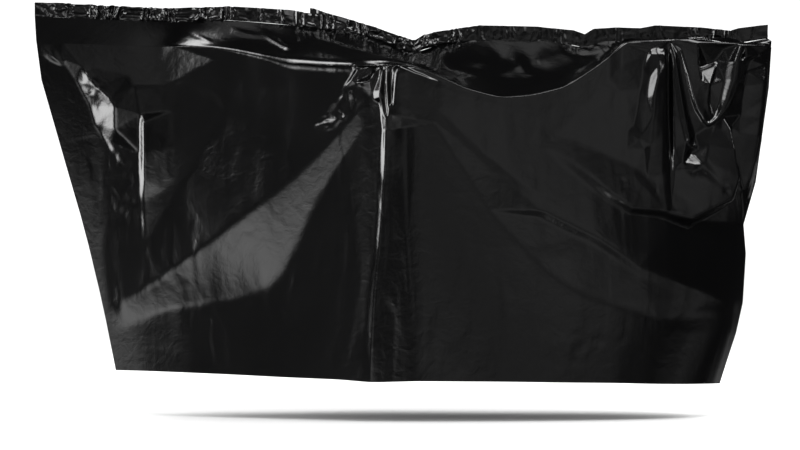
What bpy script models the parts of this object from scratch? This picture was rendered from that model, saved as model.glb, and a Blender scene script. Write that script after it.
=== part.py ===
"""Bicycle cover: one lay-flat tube of thin plastic film, welded along its top and open along its hem.

It hangs as it does over a bicycle. The weld makes a ridge with a short free skirt above it. From the
weld the film slopes out to a shoulder line, which the two handlebar grips push out furthest, and then
it falls to the hem. X runs along the cover, -Y is its front and Z is up. The origin is under the weld,
between the grips. All sizes are in metres.
"""

import math
from collections import namedtuple

import bmesh
import bpy
from mathutils import Vector

WALL = 0.0015  # thickness of the film's solid
SKIRT = 0.039  # free film above the weld
SKIRT_THICKNESS = 0.003  # both layers, welded together
SKIRT_WAVE = 0.005  # how far the ruffled skirt swings to each side
SKIRT_WAVES = 12
ROOF_ROWS = 3  # from the weld to the shoulder line
FACE_ROWS = 17  # from the shoulder line to the hem
ROOF_SAG = 0.010  # the roof hangs this much below a straight slope
FILM_COLOUR = (0.004, 0.004, 0.0045, 1.0)
FILM_ROUGHNESS = 0.18

# A line across the cover: how far along it a point is, how high, and how far out from the middle.
LinePoint = namedtuple("LinePoint", "across up out")

TOP_EDGE = (
    LinePoint(-1.008, 0.126, 0.0),
    LinePoint(-0.770, 0.115, 0.0),
    LinePoint(-0.630, 0.109, 0.0),
    LinePoint(-0.462, 0.115, 0.0),
    LinePoint(-0.294, 0.101, 0.0),
    LinePoint(-0.126, 0.084, 0.0),
    LinePoint(0.056, 0.022, 0.0),
    LinePoint(0.118, 0.045, 0.0),
    LinePoint(0.238, 0.062, 0.0),
    LinePoint(0.462, 0.053, 0.0),
    LinePoint(0.532, 0.036, 0.0),
    LinePoint(0.574, 0.056, 0.0),
    LinePoint(0.854, 0.059, 0.0),
    LinePoint(0.946, 0.045, 0.0),
    LinePoint(1.044, 0.064, 0.0),
)
FRONT_SHOULDER = (
    LinePoint(-1.004, 0.020, 0.0),
    LinePoint(-0.930, 0.012, 0.003),
    LinePoint(-0.850, 0.006, 0.005),
    LinePoint(-0.742, 0.003, 0.009),
    LinePoint(-0.660, 0.002, 0.018),
    LinePoint(-0.600, 0.001, 0.036),
    LinePoint(-0.518, -0.002, 0.067),
    LinePoint(-0.440, -0.014, 0.098),
    LinePoint(-0.294, -0.045, 0.156),
    LinePoint(-0.200, -0.052, 0.192),
    LinePoint(-0.112, -0.055, 0.224),
    LinePoint(0.000, -0.057, 0.248),
    LinePoint(0.060, -0.064, 0.246),
    LinePoint(0.120, -0.092, 0.236),
    LinePoint(0.200, -0.128, 0.222),
    LinePoint(0.290, -0.150, 0.205),
    LinePoint(0.380, -0.142, 0.186),
    LinePoint(0.470, -0.118, 0.164),
    LinePoint(0.568, -0.052, 0.139),
    LinePoint(0.646, 0.012, 0.118),
    LinePoint(0.700, 0.010, 0.106),
    LinePoint(0.760, 0.013, 0.092),
    LinePoint(0.860, 0.012, 0.062),
    LinePoint(1.000, 0.012, 0.022),
    LinePoint(1.055, 0.018, 0.0),
)
BACK_SHOULDER = (
    LinePoint(-1.004, 0.020, 0.0),
    LinePoint(-0.930, 0.000, 0.050),
    LinePoint(-0.700, -0.006, 0.080),
    LinePoint(-0.480, -0.004, 0.110),
    LinePoint(-0.294, -0.040, 0.190),
    LinePoint(-0.112, -0.045, 0.235),
    LinePoint(0.010, -0.055, 0.250),
    LinePoint(0.140, -0.090, 0.220),
    LinePoint(0.360, -0.130, 0.170),
    LinePoint(0.600, -0.080, 0.110),
    LinePoint(0.840, -0.040, 0.065),
    LinePoint(1.000, -0.020, 0.030),
    LinePoint(1.055, 0.000, 0.0),
)
FRONT_HEM = (
    LinePoint(-0.781, -0.904, 0.0),
    LinePoint(-0.700, -0.905, 0.018),
    LinePoint(-0.560, -0.908, 0.062),
    LinePoint(-0.430, -0.911, 0.112),
    LinePoint(-0.300, -0.915, 0.160),
    LinePoint(-0.150, -0.918, 0.215),
    LinePoint(-0.062, -0.924, 0.246),
    LinePoint(0.060, -0.920, 0.258),
    LinePoint(0.300, -0.922, 0.250),
    LinePoint(0.450, -0.925, 0.234),
    LinePoint(0.600, -0.928, 0.206),
    LinePoint(0.700, -0.932, 0.176),
    LinePoint(0.780, -0.935, 0.138),
    LinePoint(0.840, -0.937, 0.094),
    LinePoint(0.880, -0.939, 0.050),
    LinePoint(0.910, -0.941, 0.0),
)
BACK_HEM = (
    LinePoint(-0.781, -0.904, 0.0),
    LinePoint(-0.730, -0.905, 0.060),
    LinePoint(-0.540, -0.908, 0.186),
    LinePoint(-0.260, -0.912, 0.232),
    LinePoint(-0.040, -0.918, 0.284),
    LinePoint(0.160, -0.918, 0.246),
    LinePoint(0.420, -0.922, 0.236),
    LinePoint(0.660, -0.929, 0.196),
    LinePoint(0.840, -0.936, 0.110),
    LinePoint(0.910, -0.941, 0.0),
)

# The columns stand closer together at the grips and at the crumpled right end: a share of the length
# across, and how many columns divide the run that ends there.
ColumnRun = namedtuple("ColumnRun", "end columns")
COLUMN_RUNS = (
    ColumnRun(0.170, 9),
    ColumnRun(0.390, 8),
    ColumnRun(0.528, 9),
    ColumnRun(0.790, 9),
    ColumnRun(0.965, 12),
    ColumnRun(1.0, 2),
)

# How far each end's side fold stands out from a straight run, at a share of the way down the face.
EndPush = namedtuple("EndPush", "down left right")
END_PUSHES = (
    EndPush(0.0, 0.0, 0.0),
    EndPush(0.12, 0.012, 0.010),
    EndPush(0.40, 0.000, 0.014),
    EndPush(0.53, -0.006, -0.002),
    EndPush(0.62, -0.008, 0.018),
    EndPush(0.76, -0.008, 0.030),
    EndPush(0.85, -0.006, 0.024),
    EndPush(1.0, 0.0, 0.0),
)

# A fold follows a path of (across, up) points, with a rise at each: out from the face, or into it where
# negative. It slopes away to nothing over one width on the left of its path and another on the right.
Fold = namedtuple("Fold", "name path rises left right")
FRONT_FOLDS = (
    Fold(
        "left diagonal crest",
        (
            (-0.150, -0.250),
            (-0.260, -0.360),
            (-0.378, -0.456),
            (-0.574, -0.600),
            (-0.686, -0.672),
            (-0.790, -0.732),
        ),
        (0.006, 0.013, 0.034, 0.038, 0.028, 0.010),
        0.150,
        0.420,
    ),
    Fold(
        "main ridge",
        ((-0.026, -0.230), (-0.040, -0.560), (-0.062, -0.930)),
        (0.004, 0.012, 0.008),
        0.060,
        0.045,
    ),
    Fold(
        "right upper crest",
        ((0.120, -0.185), (0.232, -0.294), (0.395, -0.430), (0.558, -0.525), (0.803, -0.634)),
        (0.002, 0.012, 0.022, 0.026, 0.010),
        0.150,
        0.150,
    ),
    Fold(
        "pouched bottoms",
        ((0.490, -0.338), (0.643, -0.454), (0.806, -0.485), (0.906, -0.429)),
        (0.004, 0.016, 0.026, 0.030),
        0.150,
        0.050,
    ),
    Fold(
        "first drape",
        ((0.722, -0.030), (0.706, -0.140), (0.690, -0.373)),
        (0.030, 0.028, 0.008),
        0.032,
        0.060,
    ),
    Fold(
        "slot beside it",
        ((0.754, -0.020), (0.753, -0.200), (0.752, -0.330)),
        (-0.014, -0.022, -0.010),
        0.030,
        0.030,
    ),
    Fold(
        "rim of the deep v",
        ((0.788, -0.014), (0.828, -0.176), (0.862, -0.222), (0.900, -0.124), (0.956, 0.008)),
        (0.016, 0.026, 0.028, 0.030, 0.010),
        0.050,
        0.050,
    ),
    Fold(
        "right pouch",
        ((0.905, -0.235), (0.920, -0.300), (0.920, -0.400)),
        (0.010, 0.020, 0.018),
        0.036,
        0.090,
    ),
    Fold(
        "left end crest",
        ((-0.876, -0.053), (-0.789, -0.145), (-0.774, -0.210), (-0.795, -0.268)),
        (0.010, 0.041, 0.038, 0.006),
        0.110,
        0.075,
    ),
    Fold(
        "left end crease",
        ((-0.700, -0.140), (-0.694, -0.300), (-0.696, -0.520)),
        (0.016, 0.026, 0.004),
        0.100,
        0.050,
    ),
    Fold(
        "pleat under the grip",
        ((-0.040, -0.070), (-0.036, -0.136), (-0.024, -0.214)),
        (0.006, 0.013, 0.004),
        0.060,
        0.050,
    ),
)
BACK_FOLDS = (
    Fold(
        "left crest",
        ((-0.020, -0.110), (-0.250, -0.330), (-0.520, -0.520), (-0.770, -0.660)),
        (0.0, 0.026, 0.034, 0.014),
        0.120,
        0.160,
    ),
    Fold(
        "right crest",
        ((0.040, -0.110), (0.280, -0.300), (0.560, -0.520), (0.830, -0.700)),
        (0.0, 0.024, 0.032, 0.012),
        0.140,
        0.120,
    ),
    Fold("first flute", ((0.090, -0.360), (0.120, -0.920)), (0.0, -0.030), 0.060, 0.070),
    Fold("second flute", ((-0.160, -0.420), (-0.200, -0.915)), (0.0, -0.026), 0.070, 0.060),
    Fold("right drape", ((0.820, -0.020), (0.800, -0.460)), (-0.022, 0.0), 0.070, 0.070),
    Fold("left drape", ((-0.780, -0.050), (-0.740, -0.420)), (-0.018, 0.0), 0.070, 0.070),
)
END_FADE = 0.03  # share of the length over which the folds fade out towards each side fold
SHOULDER_FADE = 0.08  # share of the face over which they fade in below the shoulder line


def blend(low, high, share):
    return low + (high - low) * share


def ramp(value, end):
    """0 at zero and 1 from end on, straight between."""
    return min(1.0, max(0.0, value / end))


def on_line(line, share):
    """The point at this share of a line's length across."""
    across = blend(line[0].across, line[-1].across, share)
    for first, second in zip(line, line[1:]):
        if across <= second.across or second is line[-1]:
            local = (across - first.across) / (second.across - first.across)
            return LinePoint(across, blend(first.up, second.up, local), blend(first.out, second.out, local))


def end_push(down, share):
    """The shift along X that bends the straight side folds, full at the ends and none at mid-length."""
    for first, second in zip(END_PUSHES, END_PUSHES[1:]):
        if down <= second.down:
            local = (down - first.down) / (second.down - first.down)
            left = blend(first.left, second.left, local)
            right = blend(first.right, second.right, local)
            return -left * ramp(0.5 - share, 0.5) + right * ramp(share - 0.5, 0.5)


def fold_rise(fold, place):
    """How far one fold lifts the film at a place on the face."""
    nearest = None
    for first, second, low, high in zip(fold.path, fold.path[1:], fold.rises, fold.rises[1:]):
        run = Vector(second) - Vector(first)
        offset = place - Vector(first)
        along = min(1.0, max(0.0, offset.dot(run) / run.length_squared))
        gap = (offset - run * along).length
        if nearest is None or gap < nearest[0]:
            on_left = run.x * offset.y > run.y * offset.x
            nearest = (gap, blend(low, high, along), on_left)
    gap, rise, on_left = nearest
    return rise * max(0.0, 1 - gap / (fold.left if on_left else fold.right))


def column_of(shoulder_line, hem_line, folds, side, share):
    """One column of the skin on one side, from the skirt's edge to the hem. side is -1 for the front."""
    top = on_line(TOP_EDGE, share)
    shoulder = on_line(shoulder_line, share)
    hem = on_line(hem_line, share)
    at_end = share in (0.0, 1.0)
    half = 0.0 if at_end else side * SKIRT_THICKNESS / 2
    wave = SKIRT_WAVE * math.sin(2 * math.pi * SKIRT_WAVES * share)
    weld_up = top.up - SKIRT
    points = [Vector((top.across, half + wave, top.up)), Vector((top.across, half, weld_up))]
    for row in range(1, ROOF_ROWS + 1):
        down = row / ROOF_ROWS
        up = blend(weld_up, shoulder.up, down) - ROOF_SAG * math.sin(math.pi * down)
        across = blend(top.across, shoulder.across, down)
        points.append(Vector((across, half + side * shoulder.out * down, up)))
    for row in range(1, FACE_ROWS + 1):
        down = row / FACE_ROWS
        across = blend(shoulder.across, hem.across, down) + end_push(down, share)
        up = blend(shoulder.up, hem.up, down)
        fade = ramp(min(share, 1 - share), END_FADE) * ramp(down, SHOULDER_FADE)
        rise = sum(fold_rise(fold, Vector((across, up))) for fold in folds)
        out = blend(shoulder.out, hem.out, down) + fade * rise
        points.append(Vector((across, half + side * out, up)))
    return points


def rings_of(columns_front, columns_back):
    """The skin as closed rings from the top down: along the front, then home along the back."""
    rows = len(columns_front[0])
    return [
        [column[row] for column in columns_front] + [column[row] for column in columns_back[-2:0:-1]]
        for row in range(rows)
    ]


def facet_normals(rings, row, place):
    """The outward normals of the facets that meet at a point of the skin."""
    count = len(rings[0])
    here = rings[row][place]
    left = rings[row][(place - 1) % count]
    right = rings[row][(place + 1) % count]
    normals = []
    for near_row in (row - 1, row + 1):
        if near_row >= len(rings):
            continue
        near = rings[near_row][place]
        turn = 1 if near_row > row else -1
        for first, second in ((left, near), (near, right)):
            normal = (first - here).cross(second - here) * turn
            if normal.length > 1e-12:
                normals.append(normal.normalized())
    return normals


def inner_point(rings, row, place):
    """The point of the inner skin that lies one wall inside this one."""
    normals = facet_normals(rings, row, place)
    mean = sum(normals, Vector()).normalized()
    if row == len(rings) - 1:
        mean = Vector((mean.x, mean.y, 0.0)).normalized()
    reach = sum(mean.dot(normal) for normal in normals) / len(normals)
    return rings[row][place] - mean * WALL / max(reach, 0.12)


def add_band(mesh, upper, lower):
    """Triangles between two rings of vertices, with every diagonal the same way."""
    count = len(upper)
    for place in range(count):
        after = (place + 1) % count
        corners = (upper[place], upper[after], lower[after], lower[place])
        for triangle in ((corners[0], corners[3], corners[2]), (corners[0], corners[2], corners[1])):
            if len(set(triangle)) == 3:
                mesh.faces.new(triangle)


def column_shares():
    """The share of the length across at which each column stands."""
    shares = [0.0]
    for run in COLUMN_RUNS:
        start = shares[-1]
        shares += [blend(start, run.end, step / run.columns) for step in range(1, run.columns + 1)]
    return shares


def cover_mesh():
    shares = column_shares()
    last = len(shares) - 1
    front = [column_of(FRONT_SHOULDER, FRONT_HEM, FRONT_FOLDS, -1, share) for share in shares]
    back = [column_of(BACK_SHOULDER, BACK_HEM, BACK_FOLDS, 1, share) for share in shares]
    rings = rings_of(front, back)
    count = len(rings[0])
    mesh = bmesh.new()
    outer = [[mesh.verts.new(point) for point in ring] for ring in rings]
    for upper, lower in zip(outer, outer[1:]):
        add_band(mesh, upper, lower)
    # The skirt's edge: a narrow strip joins its front and its back.
    edge = outer[0]
    for place in range(last):
        across = (edge[(count - place - 1) % count], edge[(count - place) % count])
        corners = (edge[place], edge[place + 1], *across)
        for triangle in ((corners[0], corners[1], corners[2]), (corners[0], corners[2], corners[3])):
            if len(set(triangle)) == 3:
                mesh.faces.new(triangle)
    # The inner skin: its top row is one line under the weld.
    ridge = []
    for place in range(last + 1):
        weld = (rings[1][place] + rings[1][(count - place) % count]) / 2
        below = rings[2][place]
        slope = math.atan2(abs(below.y - weld.y), weld.z - below.z)
        drop = min(WALL / math.sin(max(slope, 0.08)), 0.4 * (weld.z - below.z))
        inward = 0.012 * ((place == 0) - (place == last))
        ridge.append(mesh.verts.new(weld + Vector((inward, 0.0, -drop))))
    ridge_ring = ridge + ridge[-2:0:-1]
    inner = [ridge_ring]
    for row in range(2, len(rings)):
        inner.append([mesh.verts.new(inner_point(rings, row, place)) for place in range(count)])
    for upper, lower in zip(inner, inner[1:]):
        add_band(mesh, lower[::-1], upper[::-1])
    add_band(mesh, outer[-1], inner[-1])
    bmesh.ops.recalc_face_normals(mesh, faces=mesh.faces)
    return mesh


def film_material():
    material = bpy.data.materials.new("film")
    material.use_nodes = True
    shader = material.node_tree.nodes["Principled BSDF"]
    shader.inputs["Base Color"].default_value = FILM_COLOUR
    shader.inputs["Roughness"].default_value = FILM_ROUGHNESS
    shader.inputs["Metallic"].default_value = 0.0
    return material


def main():
    for old in list(bpy.data.objects):
        bpy.data.objects.remove(old)
    built = cover_mesh()
    data = bpy.data.meshes.new("cover")
    built.to_mesh(data)
    built.free()
    data.materials.append(film_material())
    cover = bpy.data.objects.new("cover", data)
    bpy.context.scene.collection.objects.link(cover)


main()
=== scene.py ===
import math

import bpy
import numpy as np
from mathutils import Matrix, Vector
from mathutils.geometry import delaunay_2d_cdt


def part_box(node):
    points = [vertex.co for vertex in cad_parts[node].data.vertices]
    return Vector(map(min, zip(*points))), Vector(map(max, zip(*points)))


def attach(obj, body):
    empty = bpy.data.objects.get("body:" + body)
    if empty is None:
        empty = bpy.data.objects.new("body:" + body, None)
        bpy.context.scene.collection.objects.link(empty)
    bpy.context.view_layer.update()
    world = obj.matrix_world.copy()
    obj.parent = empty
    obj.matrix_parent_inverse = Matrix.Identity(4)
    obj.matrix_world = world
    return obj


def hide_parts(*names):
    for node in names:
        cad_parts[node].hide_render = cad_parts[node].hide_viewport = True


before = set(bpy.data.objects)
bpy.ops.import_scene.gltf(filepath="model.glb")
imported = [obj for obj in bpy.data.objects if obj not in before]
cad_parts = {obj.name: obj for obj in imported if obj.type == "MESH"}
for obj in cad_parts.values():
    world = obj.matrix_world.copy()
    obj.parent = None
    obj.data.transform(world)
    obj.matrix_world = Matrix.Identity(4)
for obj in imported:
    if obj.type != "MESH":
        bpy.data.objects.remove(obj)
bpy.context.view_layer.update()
coverLow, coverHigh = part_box("cover")
coverMiddle = (coverLow + coverHigh) / 2

cameraSettings = {
    "distance": 7.5,
    "acrossOfMiddle": -0.010,  # where it looks, beside the middle of the cover
    "belowMiddle": 0.090,
    "viewWidth": 2.24,  # what it takes in at the cover
}


def addCamera(settings):
    camera = bpy.data.cameras.new("camera")
    camera.sensor_width = 36
    camera.lens = camera.sensor_width * settings["distance"] / settings["viewWidth"]
    camera.dof.use_dof = False
    holder = bpy.data.objects.new("camera", camera)
    holder.location = (
        coverMiddle.x + settings["acrossOfMiddle"],
        -settings["distance"],
        coverMiddle.z - settings["belowMiddle"],
    )
    holder.rotation_euler = (math.radians(90), 0, 0)
    bpy.context.scene.collection.objects.link(holder)
    bpy.context.scene.camera = holder


addCamera(cameraSettings)
bpy.context.scene.view_settings.view_transform = "Standard"
print("camera placed")


class Socket:  # a node's output that takes part in plain Python maths
    def __init__(self, nodes, output):
        self.nodes = nodes
        self.output = output

    def maths(self, operation, *others):
        return self.nodes.add("ShaderNodeMath", {"operation": operation}, [self, *others])

    def __add__(self, other):
        return self.maths("ADD", other)

    def __radd__(self, other):
        return self.maths("ADD", other)

    def __sub__(self, other):
        return self.maths("SUBTRACT", other)

    def __rsub__(self, other):
        return (self * -1) + other

    def __mul__(self, other):
        return self.maths("MULTIPLY", other)

    def __rmul__(self, other):
        return self.maths("MULTIPLY", other)

    def __truediv__(self, other):
        return self.maths("DIVIDE", other)

    def __pow__(self, other):
        return self.maths("POWER", other)

    def clamped(self):
        return self.maths("MAXIMUM", 0.0).maths("MINIMUM", 1.0)


class Nodes:  # a node tree that nodes are added to in one way
    def __init__(self, tree):
        self.tree = tree
        tree.nodes.clear()

    def add(self, kind, settings, values, output=0):
        node = self.tree.nodes.new(kind)
        for name, value in settings.items():
            setattr(node, name, value)
        pairs = values.items() if isinstance(values, dict) else enumerate(values)
        for name, value in pairs:
            if isinstance(value, Socket):
                self.tree.links.new(value.output, node.inputs[name])
            else:
                node.inputs[name].default_value = value
        return Socket(self, node.outputs[output]) if node.outputs else None

    def vectors(self, operation, *values, output=0):
        return self.add("ShaderNodeVectorMath", {"operation": operation}, values, output)


stageSettings = {
    "floorBelow": 0.092,  # under the lowest point of the hem, where the tyres would stand
    "floorSize": 60.0,
    "floorColor": (0.86, 0.86, 0.86, 1.0),
    "floorRoughness": 0.9,
    "skyStrength": 1.25,  # what the camera and the floor see
}
# What the film mirrors, beside the softboxes: a dark studio with a few pale patches. Each is
# round, but flattened where upright is over 1. It fades at its reach, faster with a higher edge.
#   towards (x, y, z)      reach  upright  edge  brightness
paleWalls = [
    ((0.16, -0.98, 0.03), 0.22, 1.0, 2, 0.09),
    ((0.36, -0.88, 0.28), 0.26, 1.0, 2, 0.40),
    ((-0.54, -0.84, 0.06), 0.22, 1.0, 2, 0.12),
    ((-0.38, -0.86, -0.34), 0.26, 1.0, 3, 2.6),
    ((0.10, -0.98, -0.16), 0.18, 1.0, 3, 0.32),
    ((0.42, -0.86, -0.28), 0.20, 1.0, 2, 0.30),
    ((-0.27, -0.90, 0.34), 0.22, 1.0, 3, 0.20),
    ((-0.37, -0.77, 0.53), 0.22, 1.0, 3, 0.22),
    ((0.54, -0.34, 0.77), 0.24, 1.0, 4, 9.0),
    ((0.05, -0.10, 0.99), 0.20, 1.0, 4, 0.6),
    ((-0.955, -0.24, 0.0), 0.31, 1.0, 7, 11.0),
    ((-0.955, -0.24, 0.0), 0.42, 1.0, 6, 0.7),
    ((0.86, -0.48, -0.20), 0.28, 2.4, 2, 0.28),
    ((-0.78, -0.48, 0.41), 0.24, 1.6, 4, 9.0),
    ((0.64, 0.70, -0.36), 0.36, 1.3, 3, 0.5),
    ((-0.64, 0.70, -0.36), 0.36, 1.3, 3, 0.5),
    ((-0.40, 0.02, 0.915), 0.20, 1.0, 4, 12.0),
]
mirrorSettings = {
    "dark": 0.025,
    "floor": 0.16,  # the pale floor, brighter the more steeply it is seen
    "floorRamp": 0.60,
    "floorFrontGain": 1.4,  # it is lit on the camera's side only
    "floorFrontLoss": 0.35,
}


def addFloor(settings):
    half = settings["floorSize"] / 2
    height = coverLow.z - settings["floorBelow"]
    mesh = bpy.data.meshes.new("studio_floor")
    corners = [(-half, -half), (half, -half), (half, half), (-half, half)]
    mesh.from_pydata([(x, y, height) for x, y in corners], [], [(0, 1, 2, 3)])
    material = bpy.data.materials.new("floor_paper")
    material.use_nodes = True
    nodes = Nodes(material.node_tree)
    surface = nodes.add("ShaderNodeBsdfPrincipled", {}, {
        "Base Color": settings["floorColor"],
        "Roughness": settings["floorRoughness"],
        "Specular IOR Level": 0.0,
    })
    nodes.add("ShaderNodeOutputMaterial", {}, [surface])
    mesh.materials.append(material)
    floor = bpy.data.objects.new("studio_floor", mesh)
    floor.visible_glossy = False  # the world's own floor glow is mirrored instead
    bpy.context.scene.collection.objects.link(floor)


def addWorld(settings, mirror):
    world = bpy.data.worlds.new("studio")
    bpy.context.scene.world = world
    world.use_nodes = True
    world.cycles.sampling_method = "NONE"  # so that each ray sees its own side of the mix below
    nodes = Nodes(world.node_tree)
    direction = nodes.add("ShaderNodeTexCoord", {}, {})
    strength = mirror["dark"]
    for towards, reach, upright, edge, brightness in paleWalls:
        away = nodes.vectors("SUBTRACT", direction, Vector(towards).normalized())
        away = nodes.vectors("MULTIPLY", away, (1, 1, upright))
        gap = nodes.vectors("LENGTH", away, output="Value")
        strength = brightness * ((gap / reach) ** edge * -1.0).maths("EXPONENT") + strength
    down = nodes.vectors("DOT_PRODUCT", direction, (0, 0, -1), output="Value")
    front = nodes.vectors("DOT_PRODUCT", direction, (0, -1, 0), output="Value")
    lit = (front * mirror["floorFrontGain"] - mirror["floorFrontLoss"]).clamped()
    strength = mirror["floor"] * ((down / mirror["floorRamp"]).clamped() * lit) + strength
    mirrored = nodes.add("ShaderNodeBackground", {}, {"Color": (1, 1, 1, 1), "Strength": strength})
    sky = {"Color": (1, 1, 1, 1), "Strength": settings["skyStrength"]}
    white = nodes.add("ShaderNodeBackground", {}, sky)
    glossyRay = nodes.add("ShaderNodeLightPath", {}, {}, output="Is Glossy Ray")
    mix = nodes.add("ShaderNodeMixShader", {}, [glossyRay, white, mirrored])
    nodes.add("ShaderNodeOutputWorld", {}, [mix])


#   name           azimuth  elevation  distance  width  height  brightness
softboxes = [
    ("front_strip", 15, 50, 3.5, 1.7, 1.20, 9.0),
    ("right_box", 72, 30, 3.8, 1.0, 1.20, 6.0),
    ("rear_left_box", -138, 20, 4.2, 1.6, 2.20, 6.0),
    ("rear_right_box", 142, 24, 4.2, 1.8, 2.00, 6.0),
]
softboxAim = Vector((coverMiddle.x, 0.0, coverMiddle.z + 0.2))


def addSoftbox(name, azimuth, elevation, distance, width, height, brightness):
    light = bpy.data.lights.new(name, "AREA")
    light.shape = "RECTANGLE"
    light.size = width
    light.size_y = height
    light.energy = brightness * math.pi * width * height  # so that brightness is what it shows
    holder = bpy.data.objects.new(name, light)
    turn, lift = math.radians(azimuth), math.radians(elevation)
    flat = math.cos(lift)
    away = Vector((math.sin(turn) * flat, -math.cos(turn) * flat, math.sin(lift)))
    holder.location = softboxAim + away * distance
    holder.rotation_euler = (-away).to_track_quat("-Z", "Y").to_euler()
    holder.visible_camera = False
    bpy.context.scene.collection.objects.link(holder)


addFloor(stageSettings)
addWorld(stageSettings, mirrorSettings)
for softbox in softboxes:
    addSoftbox(*softbox)
print("stage and softboxes placed")


filmSettings = {
    "color": (0.0009, 0.0009, 0.0010, 1.0),
    "ior": 1.5,
    "roughness": 0.13,
    "roughnessSpread": 0.06,
    "blotchScale": 9.0,
    "crinkleScale": 38.0,
    "crinkleDistortion": 0.6,
    "crinkleHeight": 0.0006,
    "drawnScale": (95.0, 95.0, 5.0),  # faint lines that run down the film
    "drawnHeight": 0.00012,
}


def makeFilm(settings):
    material = bpy.data.materials.new("black_film")
    material.use_nodes = True
    nodes = Nodes(material.node_tree)
    place = nodes.add("ShaderNodeTexCoord", {}, {}, output="Object")

    def noise(where, scale, detail, distortion=0.0):
        values = {"Vector": where, "Scale": scale, "Detail": detail, "Distortion": distortion}
        return nodes.add("ShaderNodeTexNoise", {}, values)

    blotches = noise(place, settings["blotchScale"], 3.0)
    roughness = settings["roughness"] + settings["roughnessSpread"] * (blotches - 0.5)
    drawn = noise(nodes.vectors("MULTIPLY", place, settings["drawnScale"]), 1.0, 2.0)
    dents = noise(place, settings["crinkleScale"], 4.0, settings["crinkleDistortion"])
    height = settings["drawnHeight"] * drawn + settings["crinkleHeight"] * dents
    bump = nodes.add("ShaderNodeBump", {}, {"Strength": 1.0, "Distance": 1.0, "Height": height})
    surface = nodes.add("ShaderNodeBsdfPrincipled", {}, {
        "Base Color": settings["color"],
        "Roughness": roughness,
        "IOR": settings["ior"],
        "Normal": bump,
    })
    nodes.add("ShaderNodeOutputMaterial", {}, [surface])
    return material


film = makeFilm(filmSettings)

# Lines across the cover, in metres: how far along it, how high, and how far out from the middle.
#   across   up      out
weldLine = [
    (-1.008, 0.087, 0.001),
    (-0.770, 0.076, 0.001),
    (-0.630, 0.070, 0.001),
    (-0.462, 0.076, 0.001),
    (-0.294, 0.062, 0.001),
    (-0.126, 0.045, 0.001),
    (0.056, -0.017, 0.001),
    (0.118, 0.006, 0.001),
    (0.238, 0.023, 0.001),
    (0.462, 0.014, 0.001),
    (0.532, -0.003, 0.001),
    (0.574, 0.017, 0.001),
    (0.854, 0.020, 0.001),
    (0.946, 0.006, 0.001),
    (1.044, 0.025, 0.001),
]
frontShoulder = [
    (-1.004, 0.020, 0.001),
    (-0.930, 0.012, 0.003),
    (-0.850, 0.006, 0.005),
    (-0.742, 0.003, 0.010),
    (-0.660, 0.002, 0.021),
    (-0.600, 0.001, 0.040),
    (-0.518, -0.002, 0.070),
    (-0.440, -0.014, 0.098),
    (-0.294, -0.045, 0.156),
    (-0.200, -0.052, 0.192),
    (-0.112, -0.055, 0.224),
    (0.000, -0.057, 0.248),
    (0.060, -0.064, 0.246),
    (0.120, -0.092, 0.236),
    (0.200, -0.128, 0.222),
    (0.290, -0.150, 0.205),
    (0.380, -0.142, 0.186),
    (0.470, -0.118, 0.164),
    (0.568, -0.052, 0.139),
    (0.646, 0.012, 0.118),
    (0.700, 0.010, 0.106),
    (0.760, 0.013, 0.092),
    (0.860, 0.012, 0.062),
    (1.000, 0.012, 0.022),
    (1.055, 0.018, 0.001),
]
backShoulder = [
    (-1.004, 0.020, 0.001),
    (-0.930, 0.000, 0.050),
    (-0.700, -0.006, 0.080),
    (-0.480, -0.004, 0.110),
    (-0.294, -0.040, 0.190),
    (-0.112, -0.045, 0.235),
    (0.010, -0.055, 0.250),
    (0.140, -0.090, 0.220),
    (0.360, -0.130, 0.170),
    (0.600, -0.080, 0.110),
    (0.840, -0.040, 0.065),
    (1.000, -0.020, 0.030),
    (1.055, 0.000, 0.001),
]
frontHem = [
    (-0.781, -0.904, 0.001),
    (-0.700, -0.905, 0.018),
    (-0.560, -0.908, 0.062),
    (-0.430, -0.911, 0.112),
    (-0.300, -0.915, 0.160),
    (-0.150, -0.918, 0.215),
    (-0.062, -0.924, 0.246),
    (0.060, -0.920, 0.258),
    (0.300, -0.922, 0.250),
    (0.450, -0.925, 0.234),
    (0.600, -0.928, 0.206),
    (0.700, -0.932, 0.176),
    (0.780, -0.935, 0.138),
    (0.840, -0.937, 0.094),
    (0.880, -0.939, 0.050),
    (0.910, -0.941, 0.001),
]
backHem = [
    (-0.781, -0.904, 0.001),
    (-0.730, -0.905, 0.060),
    (-0.540, -0.908, 0.186),
    (-0.260, -0.912, 0.232),
    (-0.040, -0.918, 0.284),
    (0.160, -0.918, 0.246),
    (0.420, -0.922, 0.236),
    (0.660, -0.929, 0.196),
    (0.840, -0.936, 0.110),
    (0.910, -0.941, 0.001),
]
# How far each end's side fold stands out from a straight run, at a share of the way down.
#   down   left    right
endPushes = [
    (0.00, 0.000, 0.000),
    (0.12, 0.012, 0.010),
    (0.40, 0.000, 0.014),
    (0.53, -0.006, -0.002),
    (0.62, -0.008, 0.018),
    (0.76, -0.008, 0.030),
    (0.85, -0.006, 0.024),
    (1.00, 0.000, 0.000),
]

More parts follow.
